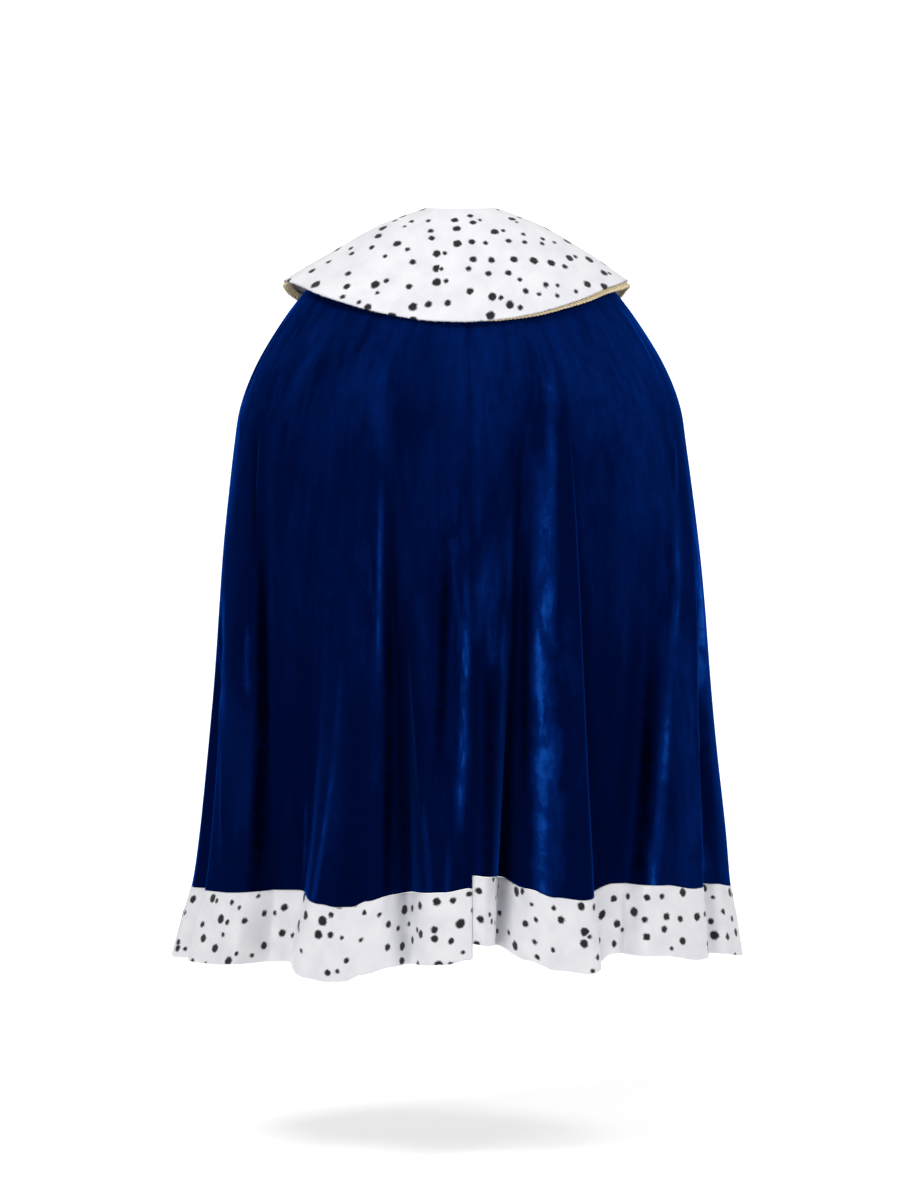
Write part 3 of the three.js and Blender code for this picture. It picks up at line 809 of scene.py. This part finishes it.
# The collar: one broad ring of the same plush, open at the throat, sewn in at the neck seam and
# lying over the shoulders, its outer edge in a few shallow waves.
COLLAR_THICKNESS = 3.6
COLLAR_EDGE = 3
COLLAR_END_NECK = 174
COLLAR_END_EDGE = 171
COLLAR_ROUND = 300
COLLAR_DOWN = 66
COLLAR_CUT_WIDTH = 0.238
COLLAR_RINGS = [
    (-0.8, 6.1, -30.1, 61.6, 65.8, 64.6, 67.6),  # neck seam
    (-57, -22, -86, 138, 138, 101, 106),
    (-126, -66, -160, 216, 214, 137, 136),
    (-200, -115, -236, 299, 285, 169, 157),  # outer edge
]
# Shallow waves of its outer edge: turn, depth (below 0 stands proud) and reach.
COLLAR_WAVES = [
    (-142, 7, 16),
    (-108, -5, 14),
    (-66, 5, 11),
    (-47, -5, 10),
    (-18, 5, 14),
    (30, -4, 14),
    (60, 5, 12),
    (112, -5, 14),
    (146, 7, 16),
]


def collar_form(turn, level):
    values = ring_values(COLLAR_RINGS, level)
    point = ring_point(values, turn)
    outward = ring_outward(values, turn)
    out = (level / COLLAR_EDGE) ** 2
    for place, depth, reach in COLLAR_WAVES:
        off = (turn - place) / reach
        if abs(off) < 1:
            point -= outward * (depth * out * math.cos(math.pi / 2 * off) ** 2)
    return point


def collar_normal(turn, level):
    round_step = collar_form(turn + 0.1, level) - collar_form(turn - 0.1, level)
    low = clamp(level + 0.02, 0, COLLAR_EDGE)
    down_step = collar_form(turn, low) - collar_form(turn, low - 0.04)
    return down_step.cross(round_step).normalized()


def collar_uneven(turn, level):
    return 1.4 * (level / COLLAR_EDGE) ** 2 * noise.noise(Vector((turn * 0.07, level * 0.9, 1.3)))


def collar_cloth(share, level):
    """A point of the collar, with no marks in its pile."""
    end = COLLAR_END_NECK + (COLLAR_END_EDGE - COLLAR_END_NECK) * level / COLLAR_EDGE
    turn = end * share + 11 * math.sin(2 * math.pi * share)
    lift = collar_uneven(turn, level) - COLLAR_THICKNESS / 2
    return collar_form(turn, level) + collar_normal(turn, level) * lift, 0, 0


shares = [2 * i / COLLAR_ROUND - 1 for i in range(COLLAR_ROUND + 1)]
collar_levels = [COLLAR_EDGE * j / COLLAR_DOWN for j in range(COLLAR_DOWN + 1)]
collar, collar_area, collar_edge = cloth_piece(
    "plush_collar", shares, collar_levels, collar_cloth, COLLAR_THICKNESS
)

# Its spots lie on the flat cut, a wide ring that is open at the throat.
walks = []
for level in collar_levels:
    corners = [collar_cloth(share, level)[0] * MM for share in shares]
    walk = [0.0]
    for a, b in zip(corners, corners[1:]):
        walk.append(walk[-1] + (b - a).length)
    walks.append((corners, walk))
cut_angle = (walks[-1][1][-1] - walks[0][1][-1]) / COLLAR_CUT_WIDTH
flat_place = {}
for corners, walk in walks:
    radius = walk[-1] / cut_angle
    for corner, walked in zip(corners, walk):
        angle = (walked / walk[-1] - 0.5) * cut_angle
        key = tuple(round(value, 5) for value in corner)
        flat_place[key] = (radius * math.sin(angle), -radius * math.cos(angle))
uv_layer = collar.data.uv_layers["cloth"].data
for loop in collar.data.loops:
    corner = collar.data.vertices[loop.vertex_index].co
    uv_layer[loop.index].uv = flat_place[tuple(round(value, 5) for value in corner)]
soften_edge(collar, 1.5)
collar.data.materials.append(plush)
collar.data.materials.append(plush_back)
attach(collar, "root")
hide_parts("collar")
edge = []
for corner, above, _ in collar_edge:
    edge.append((corner, above, flat_place[tuple(round(value, 5) for value in corner)]))
pile = edge_pile("collar_pile", edge, 12, 1.5, 3, 23)
pile.data.materials.append(plush)

# The braid: three soft fuzzy cords of gold thread plaited flat, sewn under the collar's outer
# edge. It is out of sight along the left of the back and peeps out everywhere else.
BRAID_WIDTH = 17
CORD_RADIUS = 2.05
PLAIT_STEP = 19  # along the braid, for one full crossing of a cord
BRAID_POINTS = 1200
# How far its lower edge lies below the collar's edge: turn and distance.
BRAID_SHOWS = [
    (-171, 9),
    (-92, 8),
    (-78, -4),
    (2, -4),
    (14, 1),
    (30, 4),
    (54, 8),
    (74, 11),
    (171, 9),
]

gold, tree, surface = new_material("gold_braid_thread")
place = node(tree, "ShaderNodeTexCoord").outputs["Object"]
thread = noise_over(tree, place, 700.0, 3.0, 0.75)
tone = ramp(
    tree,
    thread.outputs["Fac"],
    (0.3, (0.36, 0.24, 0.09)),
    (0.5, (0.82, 0.67, 0.4)),
    (0.68, (0.98, 0.9, 0.7)),
)
tree.links.new(tone, surface.inputs["Base Color"])
bump_thread = node(tree, "ShaderNodeBump", Height=thread.outputs["Fac"], Strength=0.8, Distance=0.0012)
tree.links.new(bump_thread.outputs["Normal"], surface.inputs["Normal"])
surface.inputs["Metallic"].default_value = 0.1
surface.inputs["Roughness"].default_value = 0.7
surface.inputs["Sheen Weight"].default_value = 0.3


def braid_centre(turn):
    """The braid's middle, its two directions, and how plump it is: it lies pressed flat where
    the collar hides it."""
    edge = collar_form(turn, COLLAR_EDGE)
    down = (edge - collar_form(turn, 2.4)).normalized()
    normal = collar_normal(turn, COLLAR_EDGE)
    shows = table_value(BRAID_SHOWS, turn)
    plump = 0.6 + 0.4 * clamp((shows + 4) / 6, 0, 1)
    under = COLLAR_THICKNESS + 0.1 + 1.55 * CORD_RADIUS * plump - collar_uneven(turn, COLLAR_EDGE)
    return edge + down * (shows - BRAID_WIDTH / 2) - normal * under, down, normal, plump


braid_turns = []
for i in range(BRAID_POINTS + 1):
    braid_turns.append(-COLLAR_END_EDGE + 2 * COLLAR_END_EDGE * i / BRAID_POINTS)
centres = [braid_centre(turn) for turn in braid_turns]
braid_walk = [0]
for before, after in zip(centres, centres[1:]):
    braid_walk.append(braid_walk[-1] + (after[0] - before[0]).length)
curve = bpy.data.curves.new("gold_braid", "CURVE")
curve.dimensions = "3D"
curve.bevel_depth = CORD_RADIUS * MM
curve.bevel_resolution = 1
curve.use_fill_caps = True
for cord in range(3):
    line = curve.splines.new("POLY")
    path = []
    for (centre, down, normal, plump), walked in zip(centres, braid_walk):
        angle = 2 * math.pi * (walked / PLAIT_STEP + cord / 3)
        side_way = (BRAID_WIDTH / 2 - CORD_RADIUS) * math.sin(angle)
        over = CORD_RADIUS * plump * 0.35 * math.sin(2 * angle)
        path.append((centre + down * side_way + normal * over) * MM)
    line.points.add(len(path) - 1)
    for point, co, (_, _, _, plump) in zip(line.points, path, centres):
        point.co = (co.x, co.y, co.z, 1)
        point.radius = plump * (1 + 0.22 * noise.noise(co * 700))
    line.use_smooth = True
braid_curve = bpy.data.objects.new("gold_braid_curve", curve)
bpy.context.collection.objects.link(braid_curve)
shape = bpy.data.meshes.new_from_object(braid_curve)
bpy.data.objects.remove(braid_curve)
braid = bpy.data.objects.new("gold_braid", shape)
bpy.context.collection.objects.link(braid)
braid.data.materials.clear()
braid.data.materials.append(gold)
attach(braid, "root")
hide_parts("collar_braid")
edge = []
for centre, down, _, _ in centres:
    low = centre + down * (BRAID_WIDTH / 2 - 1)
    edge.append((low * MM, (low - down) * MM, (0, 0)))
threads = edge_pile("braid_threads", edge, 11, 0.9, 2, 24)
threads.data.materials.append(gold)

# The hook and eye: bent steel wire, one sewn inside each front edge at the throat.
steel, tree, surface = new_material("hook_steel")
place = node(tree, "ShaderNodeTexCoord").outputs["Object"]
scratch = noise_over(tree, place, 1500.0, 2.0)
tree.links.new(spread(tree, scratch.outputs["Fac"], 0.3, 0.7, 0.2, 0.4), surface.inputs["Roughness"])
surface.inputs["Base Color"].default_value = (0.55, 0.55, 0.57, 1)
surface.inputs["Metallic"].default_value = 1.0
for name in ("throat_hook", "throat_eye"):
    wire = bpy.data.objects[name]
    wire.data.materials.clear()
    wire.data.materials.append(steel)

# A pale floor that sweeps up into a white backdrop, soft light from the upper left and some
# from the right, and the camera straight behind, at the height of the hips.
FLOOR = -1.59
FLOOR_WIDTH = 24
FLOOR_NEAR = -9
FLOOR_FAR = 4
SWEEP_RADIUS = 3
bm = bmesh.new()
bmesh.ops.create_grid(bm, x_segments=1, y_segments=40, size=0.5)
for vert in bm.verts:
    along = vert.co.y + 0.5
    across = vert.co.x * FLOOR_WIDTH
    if along < 0.5:
        vert.co = (across, FLOOR_NEAR + along / 0.5 * (FLOOR_FAR - FLOOR_NEAR), FLOOR)
    elif along < 0.9:
        angle = (along - 0.5) / 0.4 * math.pi / 2
        rise = SWEEP_RADIUS * (1 - math.cos(angle))
        vert.co = (across, FLOOR_FAR + SWEEP_RADIUS * math.sin(angle), FLOOR + rise)
    else:
        vert.co = (across, FLOOR_FAR + SWEEP_RADIUS, FLOOR + SWEEP_RADIUS + (along - 0.9) * 60)
for face in bm.faces:
    face.smooth = True
sweep_mesh = bpy.data.meshes.new("sweep")
bm.to_mesh(sweep_mesh)
bm.free()
sweep = bpy.data.objects.new("sweep", sweep_mesh)
bpy.context.collection.objects.link(sweep)
paper, tree, surface = new_material("white_paper")
surface.inputs["Base Color"].default_value = (0.85, 0.85, 0.85, 1)
surface.inputs["Roughness"].default_value = 0.9
surface.inputs["Specular IOR Level"].default_value = 0.1
surface.inputs["Emission Color"].default_value = (1, 1, 1, 1)
# The camera sees the far paper as white as the world above it.
place = node(tree, "ShaderNodeTexCoord").outputs["Object"]
away = node(tree, "ShaderNodeVectorMath", operation="LENGTH")
tree.links.new(place, away.inputs[0])
far = spread(tree, away.outputs["Value"], 2.0, 5.0, 0.0, 0.3)
seen = node(tree, "ShaderNodeLightPath").outputs["Is Camera Ray"]
glow = work_out(tree, "ADD", 0.51, work_out(tree, "MULTIPLY", far, seen))
tree.links.new(glow, surface.inputs["Emission Strength"])
sweep.data.materials.append(paper)

world = bpy.data.worlds.new("studio")
world.use_nodes = True
background = world.node_tree.nodes["Background"]
background.inputs["Color"].default_value = (1, 1, 1, 1)
# The camera sees it as white as the floor, though it lights the cape only softly.
seen = node(world.node_tree, "ShaderNodeLightPath").outputs["Is Camera Ray"]
glow = spread(world.node_tree, seen, 0.0, 1.0, 0.25, 1.0)
world.node_tree.links.new(glow, background.inputs["Strength"])
bpy.context.scene.world = world
bpy.context.scene.view_settings.view_transform = "Standard"


def soft_light(name, place, aim, size, power):
    data = bpy.data.lights.new(name, "AREA")
    data.shape = "SQUARE"
    data.size = size
    data.energy = power
    lamp = bpy.data.objects.new(name, data)
    lamp.location = place
    lamp.rotation_euler = (Vector(aim) - Vector(place)).to_track_quat("-Z", "Y").to_euler()
    bpy.context.collection.objects.link(lamp)


soft_light("key", (-1.9, -2.3, 2.3), (0, 0, -0.4), 1.4, 97)
soft_light("fill", (2.9, -1.7, 1.9), (0, 0, -0.3), 1.4, 67)

camera_data = bpy.data.cameras.new("camera")
camera_data.lens = 88.2
camera_data.sensor_width = 36
camera = bpy.data.objects.new("camera", camera_data)
camera.location = (-0.004, -5.0, -0.6586)
camera.rotation_euler = (math.radians(90), 0, 0)
bpy.context.collection.objects.link(camera)
bpy.context.scene.camera = camera
